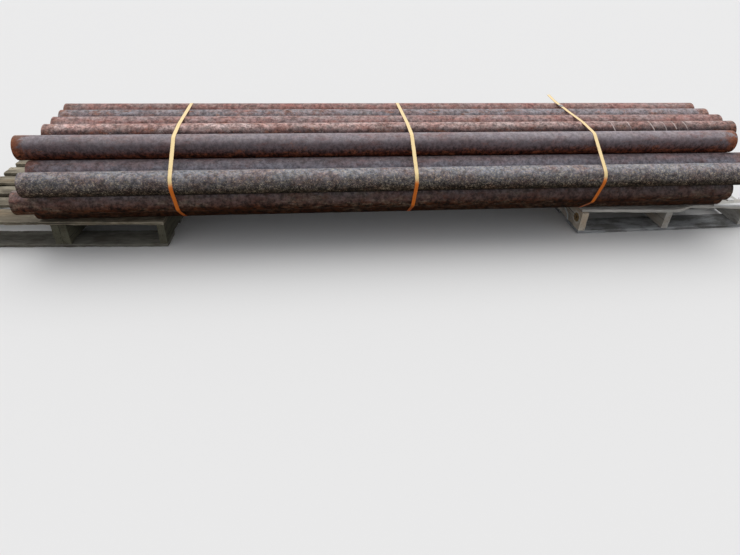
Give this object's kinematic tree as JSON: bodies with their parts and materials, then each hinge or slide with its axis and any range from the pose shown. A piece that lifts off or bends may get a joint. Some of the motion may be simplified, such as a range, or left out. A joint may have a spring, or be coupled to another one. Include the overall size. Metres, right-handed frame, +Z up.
{
  "type": "strapped bundle of iron pipes on pallets",
  "caption": "Strapped bundle of long rusty iron pipes nested in layers and lying across two weathered stringer pallets, for bulk pipe storage and fork lift handling.",
  "frame": {"origin": "on the floor, in the middle of the outline of the bundle and its pallets", "axes": "+X along the pipes, +Y from the front of the pile to its back, +Z up"},
  "size_m": [4.2915, 1.1866, 0.571],
  "materials": {
    "pipe_iron": "rough, rusted mill scale",
    "strap_paint": "satin orange paint",
    "seal_steel": "dull",
    "pallet_wood": "weathered grey",
    "pale_wood": "fresh split"
  },
  "bodies": {
    "root": {"left_pallet_bottom_boards": "pallet_wood", "left_pallet_companion_stringer": "pallet_wood", "left_pallet_stringer_1": "pallet_wood", "left_pallet_stringer_2": "pallet_wood", "left_pallet_stringer_3": "pallet_wood", "left_pallet_top_boards": "pallet_wood", "loose_lath": "pale_wood", "pipe_bottom_1": "pipe_iron", "pipe_bottom_2": "pipe_iron", "pipe_bottom_3": "pipe_iron", "pipe_bottom_4": "pipe_iron", "pipe_bottom_5": "pipe_iron", "pipe_bottom_6": "pipe_iron", "pipe_middle_1": "pipe_iron", "pipe_middle_2": "pipe_iron", "pipe_middle_3": "pipe_iron", "pipe_middle_4": "pipe_iron", "pipe_middle_5": "pipe_iron", "pipe_middle_6": "pipe_iron", "pipe_middle_7": "pipe_iron", "pipe_top_1": "pipe_iron", "pipe_top_2": "pipe_iron", "pipe_top_3": "pipe_iron", "pipe_top_4": "pipe_iron", "pipe_top_5": "pipe_iron", "pipe_upper_1": "pipe_iron", "pipe_upper_2": "pipe_iron", "pipe_upper_3": "pipe_iron", "pipe_upper_4": "pipe_iron", "pipe_upper_5": "pipe_iron", "pipe_upper_6": "pipe_iron", "pipe_upper_7": "pipe_iron", "pipe_upper_8": "pipe_iron", "right_pallet_bottom_boards": "pallet_wood", "right_pallet_stringer_1": "pallet_wood", "right_pallet_stringer_2": "pallet_wood", "right_pallet_stringer_3": "pallet_wood", "right_pallet_top_boards": "pallet_wood", "seal_left": "seal_steel", "seal_middle": "seal_steel", "seal_right": "seal_steel", "strap_left": "strap_paint", "strap_middle": "strap_paint", "strap_right": "strap_paint"}
  },
  "joints": []
}
